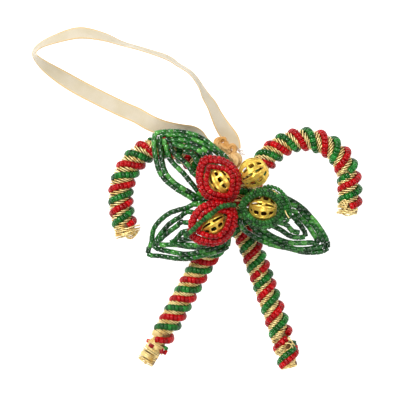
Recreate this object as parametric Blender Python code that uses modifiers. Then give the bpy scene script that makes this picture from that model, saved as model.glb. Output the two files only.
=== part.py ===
# Beaded candy cane ornament: two crossed canes wound with beads, three beaded leaves,
# three beaded buds round openwork balls, one bare ball, and a ribbon to hang it by.
# It lies on its back on z = 0, seen from above with +Y up the picture.

import math

import bmesh
import bpy
import numpy as np
from mathutils import Matrix, Vector

mm = 0.001

# Canes
CORE_RADIUS = 3.4 * mm
STRAND_WIDTH = 2.9 * mm
STRAND_CREST = 1.5 * mm
STRAND_HEIGHT = 1.3 * mm
STRAND_SEAT = 0.7 * mm
STEPS_PER_TURN = 8
CORE_POINTS = 28
CORE_STEP = 0.8 * mm
TIP_LENGTH = 2.2 * mm
TIP_SWELL = 1.15
LEFT_END_LENGTH = 4.0 * mm
LEFT_END_SWELL = 0.8
RIGHT_END_LENGTH = 11.0 * mm
RIGHT_END_SWELL = 1.15
FLAT_DEPTH = 0.15 * mm
CLEARANCE = 0.3 * mm

# Balls and buds
BALL_RADIUS = 6.6 * mm
BALL_WALL = 0.6 * mm
BUD_BEAD_RADIUS = 1.1 * mm
BUD_POINT = 0.45
BUD_STEPS = 18

# Leaves
LEAF_BEAD_RADIUS = 0.8 * mm
LEAF_GATHER_RADIUS = 1.3 * mm
LEAF_LAYER = 0.5 * mm
LEAF_STEP = 6.5 * mm

# Ribbon and wire
RIBBON_WIDTH = 6.6 * mm
RIBBON_THICKNESS = 0.4 * mm
RIBBON_REST = 0.2 * mm
RIBBON_STEP = 5.5 * mm
WIRE_RADIUS = 0.5 * mm

cane_radius = CORE_RADIUS + STRAND_SEAT + STRAND_HEIGHT
rest_height = cane_radius - FLAT_DEPTH
crossing_lift = 2 * cane_radius + CLEARANCE
crossing_top = rest_height + crossing_lift + cane_radius
row_reach = BALL_RADIUS + BUD_BEAD_RADIUS

# Each cane's middle line, from the tip of its hook to the end of its leg: x and y in mm,
# how much of the crossing's lift it has there, and how many turns the red strand has made.
# The red strand is in front at each whole turn.
LEFT_CANE = [
    (-48.4, 6.2, 0, -0.4), (-51.2, 18.7, 0, 0.95), (-51.0, 28.6, 0, 2), (-47.0, 38.0, 0, 3.05),
    (-39.4, 44.8, 0, 4.05), (-29.5, 46.3, 0, 5.1), (-20.5, 41.6, 0, 6.15),
    (-12.4, 33.1, 0, 7.4), (-3.3, 19.7, 0, 9.15), (4.3, 6.9, 0, 11), (9.5, -5.8, 0, 12.5),
    (14.2, -19.1, 0, 14.05), (19.5, -34.7, 0, 15.5), (25.1, -53.5, 0, 17.3),
]
RIGHT_CANE = [
    (51.2, 15.8, 0, -0.35), (51.8, 24.5, 0, 0.5), (50.9, 34.9, 0, 1.5), (46.6, 43.0, 0, 2.35),
    (39.8, 47.9, 0, 3.05), (30.8, 49.8, 0, 3.85), (22.3, 47.5, 0, 4.7),
    (14.6, 41.6, 0.12, 5.6), (7.4, 31.3, 0.5, 6.75), (1.9, 21.8, 0.9, 7.85),
    (-1.9, 15.0, 1, 8.65), (-5.6, 8.6, 0.9, 9.4), (-9.7, 1.8, 0.5, 10.2),
    (-14.6, -5.6, 0.15, 11.1), (-22.3, -19.6, 0, 12.7), (-31.3, -36.2, 0, 14.65),
    (-40.2, -51.4, 0, 16.3),
]


def material(name, color, roughness, metallic):
    mat = bpy.data.materials.new(name)
    mat.use_nodes = True
    shader = mat.node_tree.nodes["Principled BSDF"]
    shader.inputs["Base Color"].default_value = (*color, 1)
    shader.inputs["Roughness"].default_value = roughness
    shader.inputs["Metallic"].default_value = metallic
    mat.diffuse_color = (*color, 1)
    return mat


def new_object(name, data, mat, collection):
    obj = bpy.data.objects.new(name, data)
    data.materials.append(mat)
    collection.objects.link(obj)
    return obj


def mesh_object(name, bm, mat, collection):
    bmesh.ops.recalc_face_normals(bm, faces=bm.faces)
    mesh = bpy.data.meshes.new(name)
    bm.to_mesh(mesh)
    bm.free()
    return new_object(name, mesh, mat, collection)


def shade_round(obj, angle):
    obj.data.shade_smooth()
    obj.data.set_sharp_from_angle(angle=math.radians(angle))


# A smooth line through the given points, with a point at every step of its length
def smooth_line(points, step):
    points = np.array(points, dtype=float)
    ends = np.vstack([2 * points[0] - points[1], points, 2 * points[-1] - points[-2]])
    fine = []
    for a, b, c, d in zip(ends[:-3], ends[1:-2], ends[2:-1], ends[3:]):
        for t in np.linspace(0, 1, 24, endpoint=False):
            fine.append(
                0.5 * (2 * b + (c - a) * t + (2 * a - 5 * b + 4 * c - d) * t**2
                       + (3 * b - a - 3 * c + d) * t**3)
            )
    fine.append(points[-1])
    fine = np.array(fine)
    runs = np.linalg.norm(np.diff(fine[:, :3], axis=0), axis=1)
    lengths = np.concatenate([[0], np.cumsum(runs)])
    count = max(2, round(lengths[-1] / step)) + 1
    stations = np.linspace(0, lengths[-1], count)
    columns = [np.interp(stations, lengths, fine[:, k]) for k in range(fine.shape[1])]
    return np.stack(columns, axis=1), stations


# Rings of points joined by quads, with flat ends or closed on itself
def loft(rings, closed=False):
    bm = bmesh.new()
    rows = [[bm.verts.new(p) for p in ring] for ring in rings]
    size = len(rows[0])
    pairs = list(zip(rows[:-1], rows[1:]))
    if closed:
        pairs.append((rows[-1], rows[0]))
    else:
        bm.faces.new(rows[0])
        bm.faces.new(rows[-1])
    for low, high in pairs:
        for k in range(size):
            n = (k + 1) % size
            bm.faces.new([low[k], low[n], high[n], high[k]])
    return bm


def wire_object(name, lines, radius, mat, collection, resolution, radii=None):
    curve = bpy.data.curves.new(name, "CURVE")
    curve.dimensions = "3D"
    curve.bevel_depth = radius
    curve.bevel_resolution = resolution
    curve.use_fill_caps = True
    for line in lines:
        spline = curve.splines.new("POLY")
        spline.points.add(len(line) - 1)
        for k, p in enumerate(line):
            spline.points[k].co = (*p[:3], 1)
            if radii is not None:
                spline.points[k].radius = radii[k]
    return new_object(name, curve, mat, collection)


# A curve made a closed mesh, so that it can be joined to another piece
def as_mesh(obj, collection):
    evaluated = obj.evaluated_get(bpy.context.evaluated_depsgraph_get())
    mesh = bpy.data.meshes.new_from_object(evaluated)
    bm = bmesh.new()
    bm.from_mesh(mesh)
    bmesh.ops.remove_doubles(bm, verts=bm.verts, dist=0.00001)
    bmesh.ops.recalc_face_normals(bm, faces=bm.faces)
    bm.to_mesh(mesh)
    bm.free()
    name = obj.name
    matrix = obj.matrix_world.copy()
    curve = obj.data
    bpy.data.objects.remove(obj)
    bpy.data.curves.remove(curve)
    solid = bpy.data.objects.new(name, mesh)
    solid.matrix_world = matrix
    collection.objects.link(solid)
    return solid


def unite(obj, tool):
    joint = obj.modifiers.new("Join " + tool.name, "BOOLEAN")
    joint.operation = "UNION"
    joint.use_self = True
    joint.object = tool
    tool.hide_render = True
    tool.display_type = "WIRE"


# A cane's middle line with the directions to its side and up
class Cane:
    def __init__(self, points):
        lifted = [
            (x * mm, y * mm, rest_height + lift * crossing_lift, turn)
            for x, y, lift, turn in points
        ]
        self.line, self.stations = smooth_line(lifted, 1.0 * mm)
        self.length = self.stations[-1]

    def frame(self, s):
        point = Vector([np.interp(s, self.stations, self.line[:, k]) for k in range(3)])
        ahead = Vector([np.interp(s + mm, self.stations, self.line[:, k]) for k in range(3)])
        behind = Vector([np.interp(s - mm, self.stations, self.line[:, k]) for k in range(3)])
        tangent = (ahead - behind).normalized()
        side = Vector((0, 0, 1)).cross(tangent).normalized()
        return point, side, tangent.cross(side), tangent

    # A place on the middle line and the direction from it to a strand, which lies ahead of
    # the red one by a share of a turn
    def around(self, turn, ahead):
        s = float(np.interp(turn, self.line[:, 3], self.stations))
        point, side, up, tangent = self.frame(s)
        angle = 2 * math.pi * (turn + ahead + 0.25)
        return point, side * math.cos(angle) + up * math.sin(angle)


# The wound core: bare of beads over its tip and its end, which are wider or narrower
def make_core(name, cane, tip, end, mat, collection):
    tip_length, tip_width = tip
    end_length, end_width = end
    first = tip_length + CORE_STEP
    last = cane.length - end_length - CORE_STEP
    places = [0, tip_length, *np.linspace(first, last, CORE_POINTS), last + CORE_STEP, cane.length]
    line = [cane.frame(place)[0] for place in places]
    radii = [tip_width] * 2 + [1] * CORE_POINTS + [end_width] * 2
    return wire_object(name, [line], CORE_RADIUS, mat, collection, 2, radii)


# A strand of beads wound round the cane: flat below, crested above, lying on the core
def make_strand(name, cane, first_turn, last_turn, ahead, mat, collection):
    inner = CORE_RADIUS + STRAND_SEAT
    profile = [
        (-STRAND_WIDTH / 2, inner), (STRAND_WIDTH / 2, inner),
        (STRAND_CREST / 2, cane_radius), (-STRAND_CREST / 2, cane_radius),
    ]
    steps = round((last_turn - first_turn) * STEPS_PER_TURN)
    rings = []
    for k in range(steps + 1):
        turn = first_turn + (last_turn - first_turn) * k / steps
        point, out = cane.around(turn, ahead)
        next_point, next_out = cane.around(turn + 0.02, ahead)
        last_point, last_out = cane.around(turn - 0.02, ahead)
        along = next_point - last_point + (next_out - last_out) * inner
        across = along.cross(out).normalized()
        rings.append([point + out * height + across * width for width, height in profile])
    bm = loft(rings)
    faces = bm.verts[:] + bm.edges[:] + bm.faces[:]
    bottom = bmesh.ops.bisect_plane(
        bm, geom=faces, plane_co=(0, 0, 0), plane_no=(0, 0, -1), clear_outer=True
    )
    rims = [item for item in bottom["geom_cut"] if isinstance(item, bmesh.types.BMEdge)]
    bmesh.ops.holes_fill(bm, edges=rims, sides=0)
    bmesh.ops.dissolve_degenerate(bm, dist=0.00001, edges=bm.edges)
    return mesh_object(name, bm, mat, collection)


# A thin pierced ball, its axis along the bud that holds it
def make_ball(name, center, axis, mat, collection):
    bm = bmesh.new()
    bmesh.ops.create_uvsphere(bm, u_segments=10, v_segments=6, radius=BALL_RADIUS)
    bm.faces.ensure_lookup_table()
    windows = []
    for face in bm.faces:
        spot = face.calc_center_median()
        band = math.floor(6 * math.acos(spot.z / spot.length) / math.pi)
        column = math.floor(10 * (math.atan2(spot.y, spot.x) / (2 * math.pi) % 1))
        if (band == 1 and column % 2) or (band == 3 and column % 2 == 0):
            windows.append(face)
    bmesh.ops.delete(bm, geom=windows, context="FACES")
    turn = Vector(axis).to_track_quat("Z", "Y").to_matrix().to_4x4()
    bmesh.ops.transform(bm, matrix=Matrix.Translation(center) @ turn, verts=bm.verts)
    obj = mesh_object(name, bm, mat, collection)
    wall = obj.modifiers.new("Wall", "SOLIDIFY")
    wall.thickness = BALL_WALL
    wall.offset = -1
    return obj


# Rows of beads that run from a bud's base to its tip and back, round its ball. The lengths to
# base and tip are past the ball's skin, and a row has its angle up from the bud's middle and
# its gap to the ball.
def make_bud(name, center, axis, base, tip, rows, mat, collection):
    axis = Vector(axis).normalized()
    side = Vector((0, 0, 1)).cross(axis)
    up = Vector((0, 0, 1))
    places = []
    for angle, gap in rows:
        reach = row_reach + gap * mm
        places.append((reach * math.cos(math.radians(angle)), reach * math.sin(math.radians(angle))))
    widest = max(offset for offset, height in places)
    rings = []
    for k in range(BUD_STEPS):
        angle = 2 * math.pi * k / BUD_STEPS
        ahead = math.cos(angle)
        swing = math.sin(angle)
        reach = BALL_RADIUS + (tip if ahead > 0 else base) * mm
        spots = []
        for offset, height in places:
            length = reach * (offset / widest) ** 0.5
            width = offset * swing * abs(swing) ** BUD_POINT
            rise = height * (0.1 + 0.9 * abs(swing))
            spots.append(center + axis * (length * ahead) + side * width + up * rise)
        out = (axis * (ahead * 0.8) + side * swing).normalized()
        ring = [spots[0] + up * BUD_BEAD_RADIUS]
        for number, spot in enumerate(spots):
            ring.append(spot + (out + up * 0.5).normalized() * BUD_BEAD_RADIUS)
            if number + 1 < len(spots):
                middle = (spot + spots[number + 1]) / 2
                ring.append(middle + out * (0.35 * BUD_BEAD_RADIUS))
        ring.append(spots[-1] - up * BUD_BEAD_RADIUS)
        ring += [spot - out * BUD_BEAD_RADIUS for spot in reversed(spots)]
        rings.append(ring)
    return mesh_object(name, loft(rings, closed=True), mat, collection)


# Loops of long beads, one inside the other, from the leaf's base round its tip and back. They
# go down towards the tip, and each lies a little higher than the one round it.
def make_leaf(name, base, tip, droop, loops, mat, collection, guides):
    base = Vector((base[0] * mm, base[1] * mm, base[2]))
    tip = Vector((tip[0] * mm, tip[1] * mm, tip[2]))
    along = (tip - base).xy.to_3d()
    length = along.length
    along.normalize()
    lines = []
    for layer, loop in enumerate(loops):
        route = [(base.x, base.y), *[(x * mm, y * mm) for x, y in loop]]
        if layer < len(loops) - 1:
            route.append((base.x, base.y))
        line = []
        for x, y in smooth_line(route, LEAF_STEP)[0]:
            out = (x - base.x) * along.x + (y - base.y) * along.y
            share = min(1, max(0, out / length))
            level = base.z + (tip.z - base.z) * share**droop
            line.append(Vector((x, y, level + layer * LEAF_LAYER * min(1, 4 * share))))
        lines.append(line)
    leaf = as_mesh(wire_object(name, lines, LEAF_BEAD_RADIUS, mat, collection, 0), collection)
    bm = bmesh.new()
    bmesh.ops.create_icosphere(
        bm, subdivisions=1, radius=LEAF_GATHER_RADIUS, matrix=Matrix.Translation(base)
    )
    gather = mesh_object(name + "_gather", bm, mat, guides)
    unite(leaf, gather)
    return leaf


# The ribbon: its outer edge low, its inner edge raised by the tilt at each place
def make_ribbon(name, points, mat, collection):
    route = [(x * mm, y * mm, lift * mm, tilt) for x, y, tilt, lift in points]
    line, stations = smooth_line(route, RIBBON_STEP)
    rings = []
    for k, (x, y, lift, tilt) in enumerate(line):
        before = Vector(line[max(0, k - 1)][:2])
        after = Vector(line[min(len(line) - 1, k + 1)][:2])
        forward = (after - before).normalized().to_3d()
        inward = Vector((forward.y, -forward.x, 0))
        lean = math.radians(tilt)
        across = inward * math.cos(lean) + Vector((0, 0, math.sin(lean)))
        through = across.cross(forward)
        rise = math.sin(lean) * RIBBON_WIDTH / 2 + math.cos(lean) * RIBBON_THICKNESS / 2
        height = max(RIBBON_REST, lift) + rise
        middle = Vector((x, y, height))
        half_width = across * (RIBBON_WIDTH / 2)
        half_depth = through * (RIBBON_THICKNESS / 2)
        rings.append([
            middle - half_width - half_depth, middle + half_width - half_depth,
            middle + half_width + half_depth, middle - half_width + half_depth,
        ])
    return mesh_object(name, loft(rings), mat, collection)


# The knot: a neck from the crossing, then the bunched ribbon
def make_knot(name, points, mat, collection):
    route = [(x * mm, y * mm, z * mm, radius * mm) for x, y, z, radius in points]
    line, stations = smooth_line(route, 2.2 * mm)
    rings = []
    for k, (x, y, z, radius) in enumerate(line):
        center = Vector((x, y, z))
        before = Vector(line[max(0, k - 1)][:3])
        after = Vector(line[min(len(line) - 1, k + 1)][:3])
        forward = (after - before).normalized()
        side = Vector((0, 0, 1)).cross(forward).normalized()
        up = forward.cross(side)
        ring = []
        for corner in range(10):
            angle = 2 * math.pi * corner / 10
            fold = 1 + 0.16 * math.cos(3 * angle + k)
            ring.append(center + (side * math.cos(angle) + up * math.sin(angle)) * radius * fold)
        rings.append(ring)
    return mesh_object(name, loft(rings), mat, collection)


for old in list(bpy.data.objects):
    bpy.data.objects.remove(old)

ornament = bpy.data.collections.new("Beaded candy cane ornament")
guides = bpy.data.collections.new("Guides")
bpy.context.scene.collection.children.link(ornament)
bpy.context.scene.collection.children.link(guides)

gold = material("Gold wire", (0.72, 0.50, 0.16), 0.3, 1)
bright_gold = material("Gold filigree", (0.85, 0.56, 0.10), 0.25, 1)
red = material("Red glass beads", (0.50, 0.01, 0.02), 0.15, 0)
green = material("Green glass beads", (0.02, 0.20, 0.06), 0.15, 0)
organza = material("Cream organza", (0.80, 0.66, 0.45), 0.6, 0)

left_cane = Cane(LEFT_CANE)
right_cane = Cane(RIGHT_CANE)
make_core("left_cane_core", left_cane, (TIP_LENGTH, TIP_SWELL),
          (LEFT_END_LENGTH, LEFT_END_SWELL), gold, ornament)
make_strand("left_cane_red_beads", left_cane, 0.375, 16.75, 0, red, ornament)
make_strand("left_cane_green_beads", left_cane, 0.25, 16.375, 0.5, green, ornament)
make_core("right_cane_core", right_cane, (TIP_LENGTH, TIP_SWELL),
          (RIGHT_END_LENGTH, RIGHT_END_SWELL), gold, ornament)
make_strand("right_cane_red_beads", right_cane, 0.25, 15.25, 0, red, ornament)
make_strand("right_cane_green_beads", right_cane, 0.25, 14.25, 0.5, green, ornament)

# Buds and balls: centre, direction of the tip, rows of beads
RED_ROWS = [(42.0, 0.51), (27.4, 1.2), (12.2, 0.79)]
GREEN_ROWS = [(14.0, 0.13), (-2.2, 0.21)]
ball_top = crossing_top + BALL_RADIUS
# the balls stand round the flower's middle, their places parts of the bead rows' reach
flower = Vector((-3.0 * mm, 20.0 * mm, ball_top))
upper_center = flower + Vector((-0.429, 1.442, -0.286)) * row_reach
upper_cage = upper_center + Vector((-0.097, 0.026, 0)) * row_reach
lower_center = flower + Vector((-0.948, -1.052, 0.104)) * row_reach
green_center = flower + Vector((1.961, -0.143, -0.299)) * row_reach
bare_center = flower + Vector((1.416, 1.870, -0.623)) * row_reach
upper_axis = (-0.57, 0.82, 0)
lower_axis = (-0.86, -0.51, 0)
green_axis = (0.99, -0.13, 0)

make_ball("upper_bud_ball", upper_center, upper_axis, bright_gold, ornament)
make_ball("lower_bud_ball", lower_center, lower_axis, bright_gold, ornament)
make_ball("green_bud_ball", green_center, green_axis, bright_gold, ornament)
make_ball("bare_ball", bare_center, (0.3, 1, 0.2), bright_gold, ornament)
make_bud("upper_bud_beads", upper_cage, upper_axis, 3.6, 5.1, RED_ROWS, red, ornament)
make_bud("lower_bud_beads", lower_center, lower_axis, 4.6, 4.7, RED_ROWS, red, ornament)
make_bud("green_bud_beads", green_center, green_axis, 3.0, 5.0, GREEN_ROWS, green, ornament)

# Leaves: each loop's places in mm, the outer one first; the last is a single strand
UPPER_LOOPS = [
    [(-14, 21), (-22, 24.5), (-29, 29), (-33, 33), (-35, 37.5), (-36.5, 46), (-36.2, 53),
     (-31, 53.2), (-24, 53.2), (-16.5, 51), (-9, 45.5), (-3.7, 40.2), (-3.5, 33)],
    [(-14, 22.5), (-21, 26), (-28, 30.5), (-32, 36), (-33.5, 44), (-33.8, 51.3),
     (-28.5, 51.3), (-21.5, 50.3), (-13.3, 46.5), (-6.3, 40.8)],
    [(-13.5, 23.5), (-19.5, 29.5), (-23.5, 34.3), (-29, 40), (-31, 45.5), (-31.9, 49.5),
     (-29, 49), (-23, 49), (-15.3, 45.4), (-10.6, 41.4)],
    [(-17, 32.7), (-22.4, 38.9), (-28, 43.8), (-28.8, 47.4), (-24, 46.4), (-19.2, 45.6),
     (-13.5, 41.4)],
    [(-15.5, 37.6), (-19.5, 42.9), (-23.5, 44.2)],
]
LOWER_LOOPS = [
    [(-3.5, 2.7), (-6.5, 0), (-18.8, -3.5), (-25.7, -4), (-33, -3), (-39.2, -1.9),
     (-37.8, 3.3), (-37, 8.5), (-34.5, 12.5), (-29.4, 16.5), (-22.5, 18.6), (-16.2, 19.9)],
    [(-3.6, 4.7), (-7.5, 1.6), (-14.5, -0.5), (-21.7, -1.9), (-29, -0.9), (-36, 1),
     (-35.2, 4.7), (-30.3, 11), (-25.2, 14.5), (-19.4, 16.8)],
    [(-13.3, 2.5), (-19.1, 1.2), (-26.9, 2.2), (-34.5, 2.5), (-32.3, 6), (-26, 10.8),
     (-22.5, 12.2)],
    [(-15.7, 2.9), (-21.4, 2.7), (-28, 3.5), (-26, 6.2), (-23.4, 9.6)],
    [(-13.3, 1.3), (-19.4, 0), (-30, 0.9)],
]
RIGHT_LOOPS = [
    [(1.8, 14.4), (2.9, 10), (7.5, 6.3), (16, 2.3), (24, 0.5), (31, -1.2), (37.9, -1),
     (41.7, 1), (41, 4.6), (37, 11), (31, 17.8), (22.5, 23.8)],
    [(6.9, 11.2), (11.2, 7), (17, 3.7), (23.3, 1.1), (30.2, 0.2), (37.4, 1.1), (39.5, 1.8),
     (38.4, 5.4), (35.4, 10.6), (30.5, 15.8), (24.4, 20.1)],
    [(13.9, 7.7), (22.5, 3.6), (29, 3), (34.5, 3.2), (37, 2.5), (35.6, 6), (32, 11.2),
     (28.2, 14.8), (24.2, 17.5)],
    [(18.1, 10), (25, 6), (31, 6), (30, 9.5), (27.3, 12.6), (23.6, 15.2)],
    [(21.3, 11.7), (25.3, 8.6), (28.5, 7.7)],
]
upper_base = (-4.2, 26.2, crossing_top - 7.25 * mm)
lower_base = (-3.6, 10.2, crossing_top + 1.15 * mm)
right_base = (3.2, 16.5, crossing_top + 0.05 * mm)
upper_tip = (-36.9, 53.1, 2 * cane_radius + 3.2 * mm)
lower_tip = (-38.9, -1.1, cane_radius + 3.6 * mm)
right_tip = (41.2, 0.7, cane_radius + 4.6 * mm)
make_leaf("upper_left_leaf", upper_base, upper_tip, 1, UPPER_LOOPS, green, ornament, guides)
make_leaf("lower_left_leaf", lower_base, lower_tip, 1.2, LOWER_LOOPS, green, ornament, guides)
make_leaf("right_leaf", right_base, right_tip, 0.6, RIGHT_LOOPS, green, ornament, guides)

RIBBON = [
    (-11.0, 45.4, 50, 5.0), (-14.3, 48.6, 50, 4.5), (-16.6, 51.8, 50, 3.8),
    (-19.6, 53.4, 50, 3.0), (-24.0, 53.8, 44, 2.0), (-28.5, 54.2, 32, 1.0),
    (-33.5, 55.2, 18, 0.4), (-39.0, 57.4, 6, 0), (-44.6, 60.6, 0, 0), (-51.1, 63.4, 0, 0),
    (-61.0, 68.2, 0, 0), (-72.7, 74.3, 10, 0), (-83.5, 81.0, 42, 0), (-88.9, 85.3, 68, 0),
    (-90.9, 88.4, 82, 0), (-88.9, 91.4, 74, 0), (-82.6, 94.5, 58, 0), (-70.9, 97.7, 43, 0),
    (-60.1, 96.1, 57, 0), (-51.1, 92.9, 72, 0), (-41.6, 90.2, 75, 0), (-30.9, 86.6, 72, 0),
    (-25.5, 83.1, 76, 0), (-20.3, 79.8, 75, 0), (-17.0, 75.7, 73, 0), (-15.1, 72.5, 70, 0.2),
    (-13.2, 68.9, 58, 0.4), (-10.8, 65.3, 50, 0.6), (-9.0, 61.4, 44, 0.8), (-6.8, 57.1, 28, 1.0),
    (-4.9, 53.6, 10, 1.0), (-3.2, 50.6, 4, 0.6), (-2.2, 47.6, 4, 0.3),
]
make_ribbon("hanging_ribbon", RIBBON, organza, ornament)
KNOT = [
    (-2.5, 29.5, 10.5, 1.0), (-2.0, 34.0, 9.6, 1.6), (-1.4, 38.5, 8.8, 2.9),
    (-2.2, 42.0, 8.2, 3.8), (-4.3, 45.4, 7.9, 4.4), (-6.0, 48.2, 7.6, 3.4), (-6.8, 49.8, 7.5, 2.0),
]
make_knot("ribbon_knot", KNOT, organza, ornament)

# Heights as parts of the crossing's
BINDING = [
    (-13.4, 21.6, 0.207), (-12.6, 21.8, 0.46), (-9.4, 22.0, 0.616), (-6.6, 22.0, 0.726),
    (-4.4, 22.0, 0.91), (-0.6, 22.0, 1.025), (2.6, 22.0, 1.039),
]
binding, stations = smooth_line([(x * mm, y * mm, z * crossing_top) for x, y, z in BINDING],
                                2.5 * mm)
wire_object("binding_wire", [binding], WIRE_RADIUS, gold, ornament, 1)

# Places round the lower bud's middle, as parts of its top row's reach
CROSS_STRAND = [
    (1.230, 0.987, 0.384), (0.816, 0.987, 0.639), (0.402, 0.877, 0.810), (-0.195, 0.414, 0.871),
    (-0.694, 0.037, 0.834), (-1.133, -0.402, 0.652), (-1.547, -0.706, 0.408),
]
top_reach = row_reach + RED_ROWS[0][1] * mm
strand, stations = smooth_line(
    [lower_center + Vector(place) * top_reach for place in CROSS_STRAND], 2.2 * mm
)
wire_object("lower_bud_green_strand", [strand], BUD_BEAD_RADIUS, green, ornament, 1)

for obj in ornament.objects:
    if obj.type == "MESH" and not obj.modifiers:
        shade_round(obj, 35)
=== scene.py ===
import math
import random

import bpy
import numpy as np
from mathutils import Matrix, Vector


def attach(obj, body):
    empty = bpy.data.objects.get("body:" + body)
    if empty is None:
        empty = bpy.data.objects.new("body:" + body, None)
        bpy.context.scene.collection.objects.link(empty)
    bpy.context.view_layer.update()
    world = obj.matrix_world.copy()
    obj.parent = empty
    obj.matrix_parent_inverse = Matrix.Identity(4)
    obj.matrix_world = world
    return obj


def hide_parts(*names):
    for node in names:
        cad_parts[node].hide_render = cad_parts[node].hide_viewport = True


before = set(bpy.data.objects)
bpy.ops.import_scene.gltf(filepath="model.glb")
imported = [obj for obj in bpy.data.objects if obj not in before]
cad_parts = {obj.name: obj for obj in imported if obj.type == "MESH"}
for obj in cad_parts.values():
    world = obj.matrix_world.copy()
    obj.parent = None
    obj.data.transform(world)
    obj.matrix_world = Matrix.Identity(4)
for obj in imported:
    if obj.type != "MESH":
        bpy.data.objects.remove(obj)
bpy.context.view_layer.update()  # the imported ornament: it lies on its back on z = 0, hooks towards +Y

mm = 0.001
collection = bpy.context.scene.collection
chance = random.Random(11)


# Camera
view = {
    "picture": 400,  # the picture is square, this many pixels a side
    "pixel": 0.45 * mm,  # one pixel at the height of the canes' upper side
    "middle": (-16.0, 22.3, 9.0),  # what lies at the middle of the picture, in mm
    "distance": 2.0,  # in metres, as far off as a long lens stands
    "sensor": 36,  # its width in mm
}
x, y, z = view["middle"]
bpy.ops.object.camera_add(location=(x * mm, y * mm, z * mm + view["distance"]), rotation=(0, 0, 0))
camera = bpy.context.object
camera.data.sensor_width = view["sensor"]
camera.data.lens = view["sensor"] * view["distance"] / (view["picture"] * view["pixel"])
bpy.context.scene.camera = camera


# Helpers
def deselectAll():
    if bpy.context.object and bpy.context.object.mode != "OBJECT":
        bpy.ops.object.mode_set(mode="OBJECT")
    bpy.ops.object.select_all(action="DESELECT")


def choose(pieces):
    deselectAll()
    for piece in pieces:
        piece.select_set(True)
    bpy.context.view_layer.objects.active = pieces[0]


def selectIn(piece, kind, test):  # kind is EDGE or FACE; the piece is left in edit mode
    choose([piece])
    bpy.ops.object.mode_set(mode="EDIT")
    bpy.ops.mesh.select_mode(type=kind)
    bpy.ops.mesh.select_all(action="DESELECT")
    bpy.ops.object.mode_set(mode="OBJECT")
    for item in piece.data.edges if kind == "EDGE" else piece.data.polygons:
        item.select = bool(test(item))
    bpy.ops.object.mode_set(mode="EDIT")


def joined(pieces):
    choose(pieces)
    bpy.ops.object.join()
    return bpy.context.object


def finish(piece, material, node=None, angle=40):  # node is the CAD solid it replaces
    choose([piece])
    bpy.ops.object.shade_smooth_by_angle(angle=math.radians(angle))
    piece.data.materials.clear()
    piece.data.materials.append(material)
    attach(piece, "root")
    if node:
        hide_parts(node)


def inMetres(points):
    return [[value * mm for value in point] for point in points]


def lengthsAlong(line):  # from its start to each of its points
    runs = np.linalg.norm(np.diff(line[:, :3], axis=0), axis=1)
    return np.concatenate([[0], np.cumsum(runs)])


def smoothLine(points, step):  # a smooth line through the points, at even steps of its length
    points = np.array(points, dtype=float)
    ends = np.vstack([2 * points[0] - points[1], points, 2 * points[-1] - points[-2]])
    fine = []
    for a, b, c, d in zip(ends[:-3], ends[1:-2], ends[2:-1], ends[3:]):
        for t in np.linspace(0, 1, 24, endpoint=False):  # 24 straights between two points
            fine.append(0.5 * (2 * b + (c - a) * t + (2 * a - 5 * b + 4 * c - d) * t**2
                               + (3 * b - a - 3 * c + d) * t**3))
    fine.append(points[-1])
    fine = np.array(fine)
    lengths = lengthsAlong(fine)
    count = max(2, round(lengths[-1] / step)) + 1
    stations = np.linspace(0, lengths[-1], count)
    columns = [np.interp(stations, lengths, fine[:, k]) for k in range(fine.shape[1])]
    return np.stack(columns, axis=1), stations


def unit(vectors):
    return vectors / np.linalg.norm(vectors, axis=-1, keepdims=True)


def wire(name, lines, radius, sides=6, radii=None):  # a wire along each line
    curve = bpy.data.curves.new(name, "CURVE")
    curve.dimensions = "3D"
    curve.bevel_depth = radius
    curve.bevel_resolution = sides // 2 - 2
    curve.use_fill_caps = True
    for line in lines:
        spline = curve.splines.new("POLY")
        spline.points.add(len(line) - 1)
        spline.points.foreach_set("co", np.hstack([line, np.ones((len(line), 1))]).ravel())
        if radii is not None:
            spline.points.foreach_set("radius", radii)
    piece = bpy.data.objects.new(name, curve)
    collection.objects.link(piece)
    choose([piece])
    bpy.ops.object.convert(target="MESH")
    return bpy.context.object


def modelBead(name, size):  # a drilled bead with its hole along Z
    deselectAll()
    bpy.ops.mesh.primitive_cylinder_add(
        vertices=size["sides"], radius=size["across"] / 2 * mm, depth=size["long"] * mm
    )
    bead = bpy.context.object
    bead.name = name
    selectIn(bead, "FACE", lambda face: abs(face.normal.z) > 0.9)
    bpy.ops.mesh.inset(thickness=(size["across"] - size["hole"]) / 2 * mm)
    bpy.ops.mesh.bridge_edge_loops()
    rim = size["across"] / 2 * mm * 0.98

    def onRim(edge):
        a, b = (bead.data.vertices[k].co for k in edge.vertices)
        return abs(a.z - b.z) < 0.01 * mm and a.xy.length > rim and b.xy.length > rim

    selectIn(bead, "EDGE", onRim)
    bpy.ops.mesh.bevel(offset=size["rim"] * mm, affect="EDGES")
    bpy.ops.mesh.select_all(action="SELECT")
    bpy.ops.mesh.normals_make_consistent(inside=False)
    bpy.ops.object.mode_set(mode="OBJECT")
    return bead


def place(center, along, out, scale=(1, 1, 1)):  # Z goes along, X goes out
    along = Vector(along).normalized()
    out = Vector(out)
    out = (out - along * out.dot(along)).normalized()
    turn = Matrix((out, along.cross(out), along)).transposed().to_4x4()
    return Matrix.Translation(center) @ turn @ Matrix.Diagonal((*scale, 1))


def copies(name, source, places):  # a copy with its own mesh at each place, joined to one piece
    made = []
    for number, matrix in enumerate(places):
        mesh = source.data.copy()
        mesh.transform(matrix)
        tone = mesh.attributes.new("tone", "FLOAT", "POINT")
        tone.data.foreach_set("value", [chance.random()] * len(mesh.vertices))
        copy = bpy.data.objects.new(name if number == 0 else name + "_copy", mesh)
        collection.objects.link(copy)
        made.append(copy)
    return joined(made)


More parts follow.
